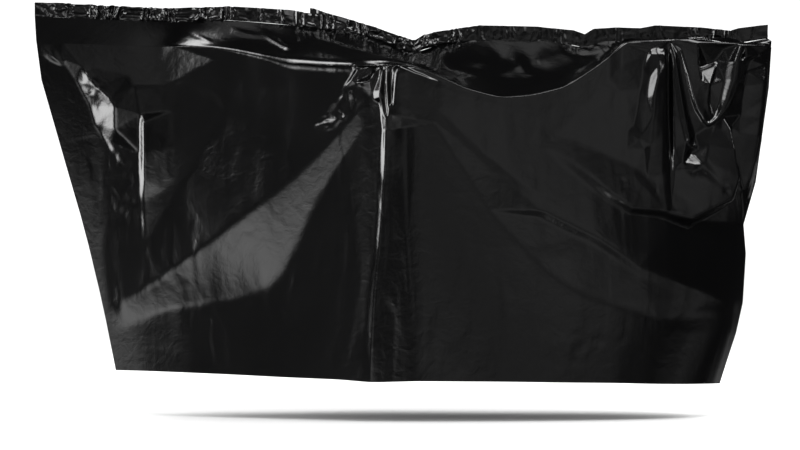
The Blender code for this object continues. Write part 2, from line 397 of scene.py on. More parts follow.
# A fold follows a path. It rises from the face, and runs out to nothing over one width on the
# left of the path and another on its right. A tent has straight sides, a cusp is steepest at its
# crest, and a soft one is rounded at its crest and its foot.
#   across   up      rise    left   right
frontFolds = [
    ("tent", [  # left diagonal crest
        (-0.035, -0.115, 0.000, 0.020, 0.060),
        (-0.150, -0.250, 0.006, 0.045, 0.200),
        (-0.260, -0.360, 0.013, 0.080, 0.320),
        (-0.378, -0.456, 0.034, 0.155, 0.440),
        (-0.460, -0.520, 0.040, 0.185, 0.480),
        (-0.574, -0.600, 0.036, 0.130, 0.440),
        (-0.686, -0.672, 0.020, 0.075, 0.260),
        (-0.790, -0.732, 0.005, 0.060, 0.100),
    ]),
    ("cusp", [  # main ridge
        (-0.022, -0.205, 0.002, 0.040, 0.014),
        (-0.024, -0.250, 0.009, 0.040, 0.014),
        (-0.025, -0.300, 0.0090, 0.060, 0.018),
        (-0.027, -0.360, 0.0063, 0.065, 0.023),
        (-0.030, -0.420, 0.0055, 0.070, 0.024),
        (-0.042, -0.566, 0.0054, 0.080, 0.025),
        (-0.054, -0.700, 0.0046, 0.080, 0.027),
        (-0.061, -0.830, 0.0034, 0.080, 0.028),
        (-0.064, -0.930, 0.0016, 0.080, 0.028),
    ]),
    ("tent", [  # tuck at the left corner
        (-1.000, 0.010, 0.000, 0.020, 0.020),
        (-0.965, -0.020, 0.010, 0.020, 0.016),
        (-0.938, -0.040, 0.004, 0.016, 0.010),
    ]),
    ("tent", [  # first pleat of the roof
        (-0.597, 0.066, 0.002, 0.010, 0.006),
        (-0.560, 0.034, 0.003, 0.010, 0.006),
        (-0.518, 0.012, 0.002, 0.010, 0.006),
    ]),
    ("tent", [  # second pleat of the roof
        (-0.470, 0.068, 0.003, 0.012, 0.008),
        (-0.434, 0.040, 0.006, 0.012, 0.008),
        (-0.372, 0.028, 0.003, 0.012, 0.008),
    ]),
    ("tent", [  # third pleat of the roof
        (-0.392, 0.062, 0.003, 0.012, 0.010),
        (-0.350, 0.026, 0.008, 0.014, 0.010),
        (-0.294, -0.010, 0.006, 0.014, 0.012),
    ]),
    ("tent", [  # fourth pleat of the roof
        (-0.294, -0.008, 0.006, 0.010, 0.010),
        (-0.262, 0.010, 0.006, 0.010, 0.010),
        (-0.205, 0.010, 0.002, 0.010, 0.010),
    ]),
    ("tent", [  # crest of the roof
        (-0.247, 0.043, 0.002, 0.010, 0.030),
        (-0.206, 0.021, 0.010, 0.012, 0.030),
        (-0.123, -0.018, 0.014, 0.014, 0.026),
        (-0.041, -0.045, 0.012, 0.012, 0.016),
        (0.014, -0.056, 0.008, 0.010, 0.010),
        (0.055, -0.062, 0.004, 0.010, 0.010),
    ]),
    ("cusp", [  # sliver at the right end
        (0.948, -0.345, 0.006, 0.010, 0.008),
        (0.964, -0.430, 0.007, 0.010, 0.008),
        (0.974, -0.510, 0.000, 0.010, 0.008),
    ]),
    ("tent", [  # first facet behind the swag
        (0.150, -0.020, 0.002, 0.016, 0.030),
        (0.262, -0.060, 0.009, 0.020, 0.030),
    ]),
    ("tent", [  # second facet behind the swag
        (0.330, 0.000, 0.003, 0.020, 0.012),
        (0.350, -0.060, 0.008, 0.030, 0.014),
    ]),
    ("tent", [  # third facet behind the swag
        (0.420, -0.020, 0.004, 0.014, 0.020),
        (0.530, -0.028, 0.006, 0.014, 0.020),
    ]),
]
backFolds = [
    ("soft", [  # left crest
        (-0.020, -0.110, 0.000, 0.120, 0.160),
        (-0.250, -0.330, 0.026, 0.120, 0.160),
        (-0.520, -0.520, 0.034, 0.120, 0.160),
        (-0.770, -0.660, 0.014, 0.120, 0.160),
    ]),
]

# Creases with flat facets of film between them. They rise from the face, or sink into it where
# negative, and a row without a rise lies on the face.
#   across   up      rise
leftEndCreases = [
    [  # the facet's outer crease
        (-0.940, -0.010), (-0.931, -0.033), (-0.890, -0.095), (-0.853, -0.164), (-0.837, -0.220),
        (-0.801, -0.276),
    ],
    [  # its inner crease
        (-0.925, 0.010), (-0.876, -0.053, 0.010), (-0.834, -0.109, 0.025), (-0.789, -0.145, 0.038),
        (-0.774, -0.170, 0.039), (-0.776, -0.230, 0.024), (-0.792, -0.268, 0.004),
        (-0.801, -0.276),
    ],
    [  # the tall crease beside it, at its foot and its top
        (-0.702, -0.188, 0.021), (-0.706, -0.225, 0.017), (-0.705, -0.300, 0.011),
        (-0.704, -0.370, 0.007), (-0.703, -0.430, 0.004), (-0.700, -0.500, 0.001),
        (-0.698, -0.575),
    ],
    [
        (-0.702, -0.188, 0.021), (-0.693, -0.215, 0.030), (-0.693, -0.300, 0.024),
        (-0.692, -0.370, 0.015), (-0.692, -0.430, 0.006), (-0.692, -0.500, 0.003),
        (-0.696, -0.575),
    ],
    [  # the pad's lower edge
        (-0.740, -0.080, 0.017), (-0.722, -0.106, 0.022), (-0.670, -0.108, 0.021),
        (-0.625, -0.112, 0.019), (-0.592, -0.092, 0.014), (-0.500, -0.040),
    ],
    [  # beyond these it lies flat
        (-0.940, -0.010), (-0.925, 0.010), (-0.735, 0.003), (-0.620, 0.002), (-0.500, -0.004),
        (-0.494, -0.048), (-0.470, -0.180), (-0.560, -0.360), (-0.660, -0.500), (-0.696, -0.575),
        (-0.698, -0.575), (-0.770, -0.560), (-0.815, -0.400), (-0.801, -0.276),
    ],
    [  # a soft crease to the right of it
        (-0.615, -0.180, 0.014), (-0.605, -0.280, 0.010), (-0.630, -0.400, 0.002),
    ],
    [  # wrinkles under the facet
        (-0.792, -0.268, 0.004), (-0.762, -0.330, 0.004), (-0.758, -0.410, 0.002),
        (-0.750, -0.480, 0.001), (-0.698, -0.575),
    ],
]
gripCreases = [
    [  # outline
        (-0.200, -0.062), (-0.190, -0.140), (-0.230, -0.220), (-0.236, -0.300), (-0.180, -0.262),
        (-0.110, -0.195), (-0.066, -0.148), (-0.056, -0.157), (-0.042, -0.166), (-0.038, -0.186),
        (-0.036, -0.214), (-0.030, -0.240), (0.000, -0.300), (0.060, -0.330), (0.120, -0.220),
        (0.140, -0.115),
    ],
    [  # finger 1
        (-0.120, -0.060), (-0.110, -0.078), (-0.122, -0.096), (-0.142, -0.128),
    ],
    [
        (-0.112, -0.060, 0.002), (-0.098, -0.080, 0.008), (-0.112, -0.102, 0.007),
        (-0.142, -0.128),
    ],
    [
        (-0.108, -0.104), (-0.090, -0.084), (-0.062, -0.069),
    ],
    [  # finger 2
        (-0.104, -0.108, 0.001), (-0.080, -0.096, 0.001), (-0.062, -0.086, 0.001),
        (-0.044, -0.064),
    ],
    [
        (-0.104, -0.112, 0.003), (-0.084, -0.112, 0.008), (-0.064, -0.108, 0.010),
        (-0.052, -0.086, 0.008), (-0.040, -0.064, 0.002),
    ],
    [  # its drips
        (-0.084, -0.112, 0.008), (-0.083, -0.124, 0.003),
    ],
    [
        (-0.064, -0.108, 0.010), (-0.062, -0.130, 0.003),
    ],
    [  # finger 3: foot, crest and the foot beyond
        (-0.038, -0.066), (-0.046, -0.100), (-0.059, -0.136), (-0.056, -0.157),
    ],
    [
        (-0.028, -0.066, 0.005), (-0.032, -0.100, 0.010), (-0.036, -0.136, 0.014),
        (-0.038, -0.152, 0.012), (-0.030, -0.186, 0.006), (-0.022, -0.214, 0.010),
        (-0.020, -0.240),
    ],
    [
        (-0.024, -0.072), (-0.027, -0.130, 0.001), (-0.026, -0.160), (-0.022, -0.192, 0.001),
    ],
    [  # finger 4
        (-0.018, -0.070, 0.008), (-0.018, -0.130, 0.010), (-0.015, -0.180, 0.009),
        (-0.016, -0.206, 0.009), (-0.022, -0.214, 0.010),
    ],
    [
        (-0.014, -0.074), (-0.011, -0.130), (-0.009, -0.170, 0.001),
    ],
    [  # finger 5
        (-0.004, -0.068, 0.001), (-0.006, -0.090), (-0.008, -0.130), (-0.009, -0.170, 0.001),
    ],
    [
        (0.015, -0.068, 0.012), (0.006, -0.092, 0.011), (0.001, -0.130, 0.010),
        (-0.002, -0.170, 0.009), (-0.009, -0.200, 0.008), (-0.016, -0.206, 0.009),
    ],
]
rightFaceCreases = [
    [  # beyond it the film lies flat
        (0.070, -0.110), (0.280, -0.170), (0.480, -0.260), (0.660, -0.340), (0.800, -0.430),
        (0.920, -0.560), (0.960, -0.740), (0.721, -0.756), (0.504, -0.688), (0.381, -0.599),
        (0.259, -0.457), (0.200, -0.360), (0.110, -0.225), (0.070, -0.110),
    ],
    [  # the soft upper crease
        (0.120, -0.185, 0.002), (0.232, -0.294, 0.008), (0.395, -0.430, 0.018),
        (0.558, -0.525, 0.029), (0.690, -0.585, 0.023), (0.803, -0.634, 0.012),
    ],
    [  # the crisp one under it, and the foot of its underside
        (0.123, -0.225, 0.002), (0.286, -0.368, 0.010), (0.395, -0.463, 0.020),
        (0.558, -0.544, 0.031), (0.667, -0.618, 0.025), (0.830, -0.680, 0.012),
    ],
    [
        (0.391, -0.472, 0.013), (0.555, -0.556, 0.023), (0.664, -0.633, 0.019),
        (0.828, -0.694, 0.008),
    ],
]
rightEndCreases = [
    [  # outline
        (0.590, 0.008), (0.590, -0.100), (0.410, -0.285), (0.482, -0.346), (0.560, -0.411),
        (0.638, -0.466), (0.720, -0.473), (0.740, -0.478), (0.806, -0.500), (0.914, -0.442),
        (0.950, -0.405), (1.010, -0.440), (1.050, -0.300), (1.070, -0.100), (1.070, 0.008),
    ],
    [  # the pouches' lower edge
        (0.410, -0.285), (0.490, -0.338, 0.004), (0.568, -0.401, 0.009), (0.643, -0.454, 0.016),
        (0.720, -0.460, 0.020), (0.740, -0.465, 0.021), (0.806, -0.485, 0.038),
        (0.906, -0.429, 0.059), (0.923, -0.382, 0.057), (0.931, -0.368, 0.056),
    ],
    [  # left side of the first drape
        (0.625, 0.000, 0.006), (0.622, -0.060, 0.006), (0.618, -0.130, 0.002),
    ],
    [
        (0.698, -0.024, 0.004), (0.684, -0.069, 0.003), (0.676, -0.124, 0.003),
        (0.668, -0.174, 0.004), (0.657, -0.221, 0.006), (0.638, -0.243, 0.006),
        (0.634, -0.290, 0.008), (0.651, -0.351, 0.012), (0.671, -0.387, 0.016),
        (0.652, -0.430, 0.016), (0.643, -0.454, 0.016),
    ],
    [  # the dark sliver in it
        (0.638, -0.243, 0.006), (0.668, -0.263, 0.013), (0.682, -0.290, 0.012),
        (0.690, -0.373, 0.014),
    ],
    [
        (0.638, -0.243, 0.006), (0.676, -0.250, 0.016), (0.699, -0.280, 0.019),
        (0.690, -0.373, 0.014),
    ],
    [  # foot and crest of the bright streak
        (0.702, -0.026, 0.013), (0.702, -0.090, 0.008), (0.694, -0.130, 0.009),
        (0.692, -0.150, 0.011), (0.676, -0.250, 0.016),
    ],
    [
        (0.722, -0.027, 0.017), (0.721, -0.060, 0.022), (0.719, -0.090, 0.027),
        (0.708, -0.140, 0.025), (0.704, -0.200, 0.024), (0.699, -0.280, 0.019),
    ],
    [  # its top
        (0.706, -0.013, 0.008), (0.722, -0.011, 0.010), (0.738, -0.013, 0.008),
    ],
    [
        (0.702, -0.026, 0.013), (0.722, -0.027, 0.017), (0.740, -0.026, 0.016),
    ],
    [  # right side of the first drape
        (0.740, -0.026, 0.016), (0.740, -0.060, 0.018), (0.736, -0.120, 0.022),
        (0.733, -0.240, 0.021), (0.731, -0.360, 0.018), (0.732, -0.450, 0.021),
    ],
    [
        (0.745, -0.020, 0.012), (0.745, -0.110, 0.017), (0.744, -0.200, 0.018),
        (0.742, -0.330, 0.016), (0.740, -0.462, 0.022),
    ],
    [  # the slot
        (0.757, -0.020, -0.002), (0.759, -0.050, -0.012), (0.760, -0.110, -0.018),
        (0.760, -0.200, -0.016), (0.760, -0.260, -0.008), (0.759, -0.320, 0.006),
        (0.753, -0.450, 0.020),
    ],
    [
        (0.760, -0.020, 0.004), (0.763, -0.048, 0.008), (0.764, -0.110, 0.009),
        (0.764, -0.200, 0.010), (0.764, -0.290, 0.012), (0.763, -0.348, 0.016),
        (0.757, -0.456, 0.022),
    ],
    [  # the second drape's foot and crest
        (0.765, -0.041, 0.008), (0.774, -0.124, 0.011), (0.785, -0.207, 0.016),
        (0.797, -0.268, 0.020),
    ],
    [
        (0.758, 0.014, 0.006), (0.771, -0.041, 0.016), (0.782, -0.124, 0.019),
        (0.793, -0.207, 0.024), (0.803, -0.263, 0.027), (0.812, -0.284, 0.016),
        (0.817, -0.299, 0.006),
    ],
    [  # the dark valley behind it
        (0.776, -0.020, 0.006), (0.790, -0.100, 0.006), (0.806, -0.185, 0.007),
        (0.826, -0.250, 0.008), (0.836, -0.290, 0.014),
    ],
    [  # the rim of the deep v: its foot on the left
        (0.785, -0.015, 0.004), (0.802, -0.085, 0.007), (0.818, -0.153, 0.008),
        (0.828, -0.183, 0.009), (0.845, -0.211, 0.012), (0.862, -0.227, 0.013),
    ],
    [
        (0.762, 0.010, 0.004), (0.788, -0.014, 0.012), (0.805, -0.083, 0.018),
        (0.821, -0.152, 0.019), (0.831, -0.180, 0.020), (0.847, -0.207, 0.022),
        (0.862, -0.222, 0.024), (0.887, -0.202, 0.025), (0.900, -0.180, 0.026),
        (0.911, -0.152, 0.027), (0.928, -0.097, 0.029), (0.935, -0.047, 0.030),
        (0.956, 0.006, 0.026),
    ],
    [  # its foot on the inside of the right branch
        (0.862, -0.214, 0.017), (0.877, -0.200, 0.016), (0.888, -0.178, 0.014),
        (0.898, -0.152, 0.013), (0.911, -0.097, 0.012), (0.921, -0.047, 0.016),
        (0.948, 0.004, 0.019),
    ],
    [  # the panel inside the v, up to its dark edge
        (0.800, 0.004, 0.012), (0.836, 0.004, 0.016), (0.836, -0.040, 0.020),
        (0.838, -0.069, 0.022), (0.844, -0.105, 0.023), (0.848, -0.140, 0.022),
        (0.852, -0.176, 0.020), (0.862, -0.208, 0.018),
    ],
    [
        (0.831, -0.180, 0.020), (0.852, -0.176, 0.020),
    ],
    [  # the flap and its tail
        (0.846, -0.069, 0.008), (0.896, -0.050, -0.002), (0.864, -0.110, 0.030),
        (0.846, -0.069, 0.008),
    ],
    [
        (0.899, -0.056, -0.001), (0.885, -0.084, 0.001), (0.870, -0.113, 0.006),
        (0.866, -0.160, 0.010),
    ],
    [
        (0.864, -0.110, 0.030), (0.861, -0.160, 0.024), (0.862, -0.208, 0.018),
    ],
    [  # the hollow over the flap
        (0.843, -0.060, -0.002), (0.870, -0.053, -0.008), (0.893, -0.040, -0.008),
        (0.913, -0.008, 0.008),
    ],
    [  # the strip beside the v, and the dark hollow beyond
        (0.968, 0.004, 0.024), (0.950, -0.050, 0.031), (0.944, -0.097, 0.030),
        (0.926, -0.150, 0.027), (0.910, -0.182, 0.024), (0.892, -0.207, 0.021),
    ],
    [
        (0.880, -0.218, 0.019), (0.905, -0.198, 0.017), (0.935, -0.160, 0.010),
        (0.965, -0.108, 0.007), (0.978, -0.072, 0.007),
    ],
    [  # the lens
        (0.956, -0.040, 0.026), (0.970, -0.041, 0.018), (0.990, -0.036, 0.012),
        (1.012, -0.026, 0.008),
    ],
    [
        (0.956, -0.031, 0.029), (0.970, -0.031, 0.025), (0.990, -0.028, 0.020),
        (1.012, -0.020, 0.010),
    ],
    [  # the strip at the end
        (1.034, -0.050, 0.008), (1.026, -0.100, 0.018), (1.019, -0.150, 0.021),
        (1.010, -0.200, 0.024), (1.002, -0.250, 0.026), (0.990, -0.320, 0.022),
        (0.976, -0.400, 0.010),
    ],
    [
        (0.978, -0.072, 0.007), (0.972, -0.110, 0.003), (0.966, -0.145, 0.003),
        (0.962, -0.190, 0.004), (0.958, -0.240, 0.004), (0.956, -0.320, 0.003), (0.954, -0.380),
    ],
    [  # the slot beside it
        (0.936, -0.225), (0.937, -0.260, -0.006), (0.939, -0.330, -0.006), (0.942, -0.372),
    ],
    [  # the right pouch
        (0.850, -0.318, 0.030), (0.862, -0.276, 0.025), (0.873, -0.240, 0.019),
        (0.898, -0.236, 0.021), (0.923, -0.234, 0.027), (0.928, -0.290, 0.040),
        (0.931, -0.368, 0.056), (0.923, -0.382, 0.057), (0.887, -0.384, 0.047),
        (0.845, -0.373, 0.037), (0.817, -0.360, 0.028),
    ],
    [  # the shelf, with the folds to each side
        (0.786, -0.333, 0.026), (0.815, -0.333, 0.027), (0.842, -0.333, 0.027),
        (0.817, -0.299, 0.006), (0.786, -0.333, 0.026),
    ],
    [
        (0.784, -0.330, 0.025), (0.791, -0.302, 0.023), (0.797, -0.268, 0.020),
    ],
    [
        (0.784, -0.339, 0.020), (0.817, -0.350, 0.024), (0.846, -0.342, 0.028),
    ],
    [  # the crease down the pouch
        (0.817, -0.350, 0.024), (0.810, -0.372, 0.028), (0.806, -0.485, 0.038),
    ],
]
frontFacets = [leftEndCreases, gripCreases, rightFaceCreases, rightEndCreases]

# Ovals of film that are crumpled all over, in random facets. Each is turned by some degrees and has
# a count of random corners, up to its height in or out. A stretch over 1 makes its facets taller.
#   across   up     half wide  half tall  turn  count  height  stretch
frontCrumples = [
    (-0.158, -0.195, 0.028, 0.085, -42, 34, 0.0024, 1.0),
    (-0.756, -0.400, 0.036, 0.150, 4, 46, 0.0014, 1.6),
    (-0.070, 0.000, 0.080, 0.022, -14, 40, 0.0030, 1.0),
    (-0.625, -0.666, 0.070, 0.030, 16, 26, 0.0010, 0.5),
    (-0.430, -0.540, 0.060, 0.028, 28, 26, 0.0010, 0.5),
    (0.623, -0.387, 0.014, 0.018, 0, 14, 0.0022, 1.0),
    (0.712, -0.400, 0.008, 0.018, 0, 10, 0.0020, 1.0),
    (0.897, -0.398, 0.016, 0.014, 0, 12, 0.0020, 1.0),
    (0.500, -0.820, 0.080, 0.040, 0, 44, 0.0012, 1.0),
    (0.320, -0.040, 0.260, 0.050, 4, 34, 0.0100, 0.7),
    (0.000, -0.470, 1.020, 0.520, 0, 900, 0.0006, 5.0),
    (-0.840, -0.120, 0.026, 0.080, 28, 24, 0.0016, 1.0),
]

backCrumples = [
    (-0.050, -0.060, 0.240, 0.070, 0, 60, 0.0040, 1.0),
    (0.780, -0.140, 0.200, 0.120, 20, 50, 0.0050, 2.0),
    (-0.760, -0.200, 0.180, 0.140, -30, 50, 0.0050, 2.0),
    (0.000, -0.470, 1.020, 0.520, 0, 500, 0.0012, 4.0),
]

panelSettings = {
    "lineSmoothing": 0.018,  # how far a bend in the lines above is rounded along the cover
    "roofSag": 0.012,
    "sagFullAt": 0.15,  # the shoulder's distance from the middle where the roof sags in full
    "roofCrowding": 1.5,  # over 1, the rows of the roof crowd towards the shoulder
    "leftFade": 0.035,  # the share of the cover's width over which folds die out at each end
    "rightFade": 0.007,
    "weldFade": 2.2,  # how soon folds reach their height below the weld
    "ovalCorners": 16,  # round the rim of a crumpled oval, where it lies on the face
    "ovalInside": 0.94,  # the share of an oval that its random corners keep within
    "roofRows": 30,
    "faceRows": 190,
    "frontColumns": 448,
    "backColumns": 220,
}
# How wide the bend at the shoulder is: at a place across, and its size.
shoulderBend = [
    (-1.00, 0.003), (-0.52, 0.003), (-0.44, 0.010), (-0.36, 0.016), (-0.28, 0.034), (-0.10, 0.040),
    (0.00, 0.036), (0.06, 0.014), (0.15, 0.007), (0.56, 0.007), (0.63, 0.003), (1.05, 0.003),
]
# Where the rows of the face lie close together: how far down it, and how dense.
#   down    density
rowDensity = [(0.0, 3.2), (0.28, 3.0), (0.34, 1.8), (0.50, 1.6), (0.56, 1.0), (1.0, 1.0)]
# Where the columns do: at a share of the way across.
columnDensity = [
    (0.00, 1.8), (0.16, 1.8), (0.20, 1.0), (0.37, 1.0), (0.42, 3.2), (0.50, 3.2), (0.54, 1.0),
    (0.76, 1.0), (0.80, 3.2), (0.98, 3.2), (1.00, 2.0),
]


def spread(density, count):  # count + 1 shares from 0 to 1, closer where the density is higher
    fine = np.linspace(0, 1, 4001)
    weight = np.interp(fine, *zip(*density))
    total = np.concatenate([[0], np.cumsum((weight[1:] + weight[:-1]) / 2)])
    return np.interp(np.linspace(0, total[-1], count + 1), total, fine)


def lineAt(line, shares, smoothing):  # across, up and out of a line at each share, with soft bends
    across, up, out = np.array(line).T
    at = across[0] + (across[-1] - across[0]) * shares
    steps = np.linspace(-2, 2, 17)  # samples to both sides, weighted as a bell
    weights = np.exp(-(steps ** 2) / 2)
    weights /= weights.sum()
    room = np.minimum(at - across[0], across[-1] - at) / (2 * smoothing)
    near = at[:, None] + np.clip(room, 0, 1)[:, None] * (steps * smoothing)
    soft = [(np.interp(near, across, values) * weights).sum(axis=1) for values in (up, out)]
    return np.stack([at, *soft], axis=1)


def smoothPath(rows, steps=4):  # a curve through the rows of a fold's table
    rows = np.array(rows)
    padded = np.concatenate([[2 * rows[0] - rows[1]], rows, [2 * rows[-1] - rows[-2]]])
    curve = []
    for before, first, second, after in zip(padded, padded[1:], padded[2:], padded[3:]):
        for step in range(steps):
            t = step / steps
            curve.append(0.5 * (
                2 * first
                + (second - before) * t
                + (2 * before - 5 * first + 4 * second - after) * t * t
                + (3 * first - before - 3 * second + after) * t ** 3
            ))
    return np.array([*curve, rows[-1]])


foldForms = {
    "tent": lambda t: 1 - t,
    "cusp": lambda t: (1 - t) ** 2,
    "soft": lambda t: 1 - t * t * (3 - 2 * t),
}


def foldRise(form, rows, across, up):  # how far a fold lifts each place of the face
    curve = smoothPath(rows)
    widest = curve[:, 3:5].max() * 1.05  # a little more than it needs
    low, high = curve[:, :2].min(axis=0) - widest, curve[:, :2].max(axis=0) + widest
    near = (across > low[0]) & (across < high[0]) & (up > low[1]) & (up < high[1])
    place = np.stack([across[near], up[near]], axis=1)
    run = np.diff(curve[:, :2], axis=0)
    length = np.hypot(*run.T)
    run = run / length[:, None]
    joint = np.concatenate([run[:1], run[1:] + run[:-1], run[-1:]])
    best = np.full(len(place), np.inf)
    share = np.ones(len(place))
    rise = np.zeros(len(place))
    for index in range(len(run)):
        offset = place - curve[index, :2]
        along = offset @ run[index]
        held = np.clip(along, 0, length[index])
        rest = offset - held[:, None] * run[index]
        gap = np.hypot(*rest.T)
        row = curve[index] + (curve[index + 1] - curve[index]) * (held / length[index])[:, None]
        before, after = along < 0, along > length[index]
        tangent = np.where(after[:, None], joint[index + 1], run[index])
        tangent = np.where(before[:, None], joint[index], tangent)
        lateral = tangent[:, 0] * rest[:, 1] - tangent[:, 1] * rest[:, 0]
        width = np.where(lateral > 0, row[:, 3], row[:, 4])
        endWidth = (row[:, 3] + row[:, 4]) / 2
        endways = np.sqrt(np.maximum(gap ** 2 - lateral ** 2, 0))
        atEnd = (before & (index == 0)) | (after & (index == len(run) - 1))
        t = np.where(atEnd, np.hypot(lateral / width, endways / endWidth), gap / width)
        closer = gap < best
        best = np.where(closer, gap, best)
        share = np.where(closer, t, share)
        rise = np.where(closer, row[:, 2], rise)
    result = np.zeros(across.shape)
    result[near] = rise * np.where(share < 1, foldForms[form](np.minimum(share, 1)), 0)
    return result


def gridNormals(points, side):  # outward normals of a grid of points, rows by columns
    down = np.gradient(points, axis=0)
    across = np.gradient(points, axis=1)
    normals = np.cross(down, across) * -side
    return normals / np.maximum(np.linalg.norm(normals, axis=2, keepdims=True), 1e-9)


def crumple(settings, middle, size, turn, count, height, seed):  # an oval's corners and their rises
    rng = np.random.default_rng(seed)
    rim = settings["ovalCorners"]
    rimAngle = np.linspace(0, 2 * math.pi, rim, endpoint=False)
    angle = np.concatenate([rimAngle, rng.uniform(0, 2 * math.pi, count)])
    reach = settings["ovalInside"] * np.sqrt(rng.uniform(0, 1, count))
    reach = np.concatenate([np.ones(rim), reach])
    rise = np.concatenate([np.zeros(rim), rng.uniform(-height, height, count)])
    wide, tall = size[0] * reach * np.cos(angle), size[1] * reach * np.sin(angle)
    turned = math.radians(turn)
    x = middle[0] + wide * math.cos(turned) - tall * math.sin(turned)
    z = middle[1] + wide * math.sin(turned) + tall * math.cos(turned)
    return [[place] for place in zip(x.tolist(), z.tolist(), rise.tolist())]


def facetRise(lines, across, up, stretch=1.0):  # flat facets between creases, as triangles
    lines = [[(*row, 0.0)[:3] for row in line] for line in lines]
    rows = np.array(sorted({row for line in lines for row in line}))
    number = {tuple(row): i for i, row in enumerate(rows.tolist())}
    edges = [(number[a], number[b]) for line in lines for a, b in zip(line, line[1:])]
    corners = [Vector((row[0] * stretch, row[1])) for row in rows]
    made = delaunay_2d_cdt(corners, edges, [], 0, 1e-6)
    places = np.array([tuple(corner) for corner in made[0]]) / (stretch, 1)
    heights = np.array([rows[origins[0], 2] if origins else np.nan for origins in made[3]])
    if np.isnan(heights).any():
        print("creases cross near", places[np.isnan(heights)].round(3).tolist())
        heights = np.nan_to_num(heights)
    rise = np.zeros(across.shape)
    for triangle in made[2]:
        a, b, c = places[triangle]
        whole = (b[0] - a[0]) * (c[1] - a[1]) - (c[0] - a[0]) * (b[1] - a[1])
        if abs(whole) < 1e-10:
            continue
        low, high = places[triangle].min(axis=0), places[triangle].max(axis=0)
        near = (across >= low[0]) & (across <= high[0]) & (up >= low[1]) & (up <= high[1])
        x, z = across[near], up[near]
        second = ((x - a[0]) * (c[1] - a[1]) - (c[0] - a[0]) * (z - a[1])) / whole
        third = ((b[0] - a[0]) * (z - a[1]) - (x - a[0]) * (b[1] - a[1])) / whole
        inside = (second >= -1e-9) & (third >= -1e-9) & (second + third <= 1 + 1e-9)
        tall = heights[triangle]
        value = tall[0] * (1 - second - third) + tall[1] * second + tall[2] * third
        rise[near] = np.where(inside, value, rise[near])
    return rise


def softened(field):  # each value shared with its neighbours, so that creases aren't razor sharp
    padded = np.pad(field, 1, mode="edge")
    across = (padded[:, :-2] + 2 * padded[:, 1:-1] + padded[:, 2:]) / 4
    return (across[:-2] + 2 * across[1:-1] + across[2:]) / 4


def panelPoints(settings, shoulderTable, hemTable, folds, facets, crumples, side, shares):
    weld = lineAt(weldLine, shares, settings["lineSmoothing"])
    shoulder = lineAt(shoulderTable, shares, settings["lineSmoothing"])
    hem = lineAt(hemTable, shares, settings["lineSmoothing"])
    for line in (weld, shoulder, hem):
        line[:, 2] *= side
        line[:, [1, 2]] = line[:, [2, 1]]  # now x, y, z
    roofShares = 1 - (1 - np.linspace(0, 1, settings["roofRows"] + 1)) ** settings["roofCrowding"]
    sagShares = np.clip(np.abs(shoulder[:, 1]) / settings["sagFullAt"], 0, 1)
    sag = np.sin(math.pi * roofShares)[:, None] * settings["roofSag"] * sagShares
    roof = weld + (shoulder - weld) * roofShares[:, None, None]
    roof[:, :, 2] -= sag
    down = spread(rowDensity, settings["faceRows"])
    at, left, right = np.array(endPushes).T
    left, right = (np.interp(down, at, pushes)[:, None] for pushes in (left, right))
    face = shoulder + (hem - shoulder) * down[:, None, None]
    face[:, :, 0] += right * np.clip(shares * 2 - 1, 0, 1) - left * np.clip(1 - shares * 2, 0, 1)
    # Round the bend at the shoulder over a short way to each side of it.
    size = np.interp(shoulder[:, 0], *zip(*shoulderBend))[:, None]
    for strip, along in ((roof, roof - shoulder), (face, face - shoulder)):
        away = np.linalg.norm(along, axis=2, keepdims=True)
        inside = np.clip(1 - away / size, 0, 1)
        other = (weld - shoulder) if strip is face else (hem - shoulder)
        other = other / np.linalg.norm(other, axis=1, keepdims=True)
        own = along / np.maximum(away, 1e-9)
        # a quadratic curve, and how far along it each row lies
        near, far = (1 + away / size) / 2, (1 - away / size) / 2
        curve = shoulder + size * (own * near ** 2 + other * far ** 2)
        strip[:] = np.where(inside > 0, curve, strip)
    points = np.concatenate([roof, face[1:]])
    across, up = points[:, :, 0], points[:, :, 2]
    fade = np.minimum(shares / settings["leftFade"], (1 - shares) / settings["rightFade"])
    fade = np.clip(fade, 0, 1)
    fade = fade * fade * (3 - 2 * fade)
    total = sum(foldRise(form, rows, across, up) for form, rows in folds)
    for lines in facets:
        total = total + facetRise(lines, across, up)
    for seed, (x, z, wide, tall, turn, count, height, stretch) in enumerate(crumples):
        patch = crumple(settings, (x, z), (wide, tall), turn, count, height, seed)
        total = total + facetRise(patch, across, up, stretch)
    total = softened(total)
    fromWeld = np.arange(len(points)) / settings["roofRows"] * settings["weldFade"]
    total = total * fade * np.clip(fromWeld, 0, 1)[:, None]
    return points + gridNormals(points, side) * total[:, :, None]


def addSheet(name, points, side):
    rows, columns = points.shape[:2]
    index = np.arange(rows * columns).reshape(rows, columns)
    corners = [index[:-1, :-1], index[1:, :-1], index[1:, 1:], index[:-1, 1:]]
    if side > 0:  # the back faces the other way
        corners = corners[::-1]
    faces = np.stack(corners, axis=-1).reshape(-1, 4)
    mesh = bpy.data.meshes.new(name)
    mesh.from_pydata(points.reshape(-1, 3).tolist(), [], faces.tolist())
    mesh.shade_smooth()
    mesh.materials.append(film)
    piece = bpy.data.objects.new(name, mesh)
    bpy.context.scene.collection.objects.link(piece)
    return piece


